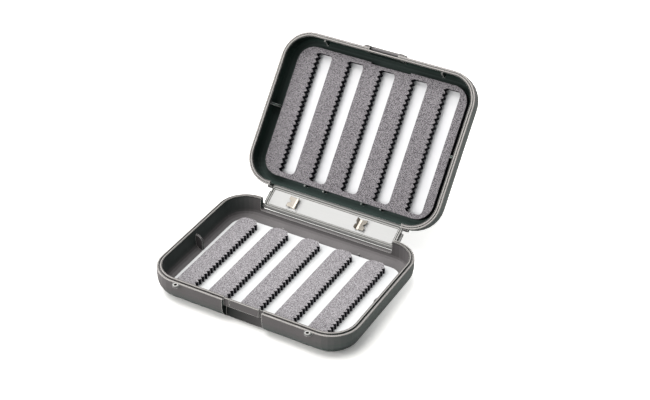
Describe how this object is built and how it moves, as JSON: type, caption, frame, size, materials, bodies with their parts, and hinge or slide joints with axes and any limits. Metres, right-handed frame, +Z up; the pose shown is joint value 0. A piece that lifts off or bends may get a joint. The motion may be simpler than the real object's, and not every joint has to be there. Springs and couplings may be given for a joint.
{
  "type": "pocket fly case",
  "caption": "Open pocket fly case: two rounded trays on a double hinge, toothed foam inserts over white sheets, a snap lever on the lid and a catch bar on the base.",
  "frame": {"origin": "middle of the base tray's flat underside", "axes": "+X along the hinge, +Y from the latch side towards the hinge, +Z up"},
  "size_m": [0.121, 0.1701, 0.0902],
  "materials": {
    "shell": "fine satin texture",
    "link_plastic": "satin",
    "white_sheet": "smooth white sheet",
    "foam": "fine-celled foam",
    "plaque_sheet": "satin anodised",
    "spring_metal": "nickel-bright",
    "pin_steel": "drawn wire"
  },
  "bodies": {
    "base": {"base_tray": "shell", "base_backing": "white_sheet", "foam_strip_1": "foam", "foam_strip_2": "foam", "foam_strip_3": "foam", "foam_strip_4": "foam", "foam_strip_5": "foam"},
    "link": {"hinge_link": "link_plastic", "link_plaque": "plaque_sheet", "clip_left": "spring_metal", "clip_right": "spring_metal", "base_hinge_pin": "pin_steel", "lid_hinge_pin": "pin_steel"},
    "lid": {"lid_tray": "shell", "lid_backing": "white_sheet", "lid_foam": "foam", "latch_pin": "pin_steel"},
    "latch": {"latch_lever": "shell"}
  },
  "joints": [
    {"name": "base_hinge", "type": "hinge", "parent": "base", "child": "link", "pos_m": [0, 0.0455, 0.0093], "axis": [1, 0, 0], "range_deg": [-28.4, 61.6]},
    {"name": "lid_hinge", "type": "hinge", "parent": "link", "child": "lid", "pos_m": [0, 0.05667, 0.01534], "axis": [1, 0, 0], "range_deg": [-22.5, 67.5]},
    {"name": "latch_pivot", "type": "hinge", "parent": "lid", "child": "latch", "pos_m": [0, 0.11205, 0.0876], "axis": [1, 0, 0], "range_deg": [0, 180]}
  ]
}
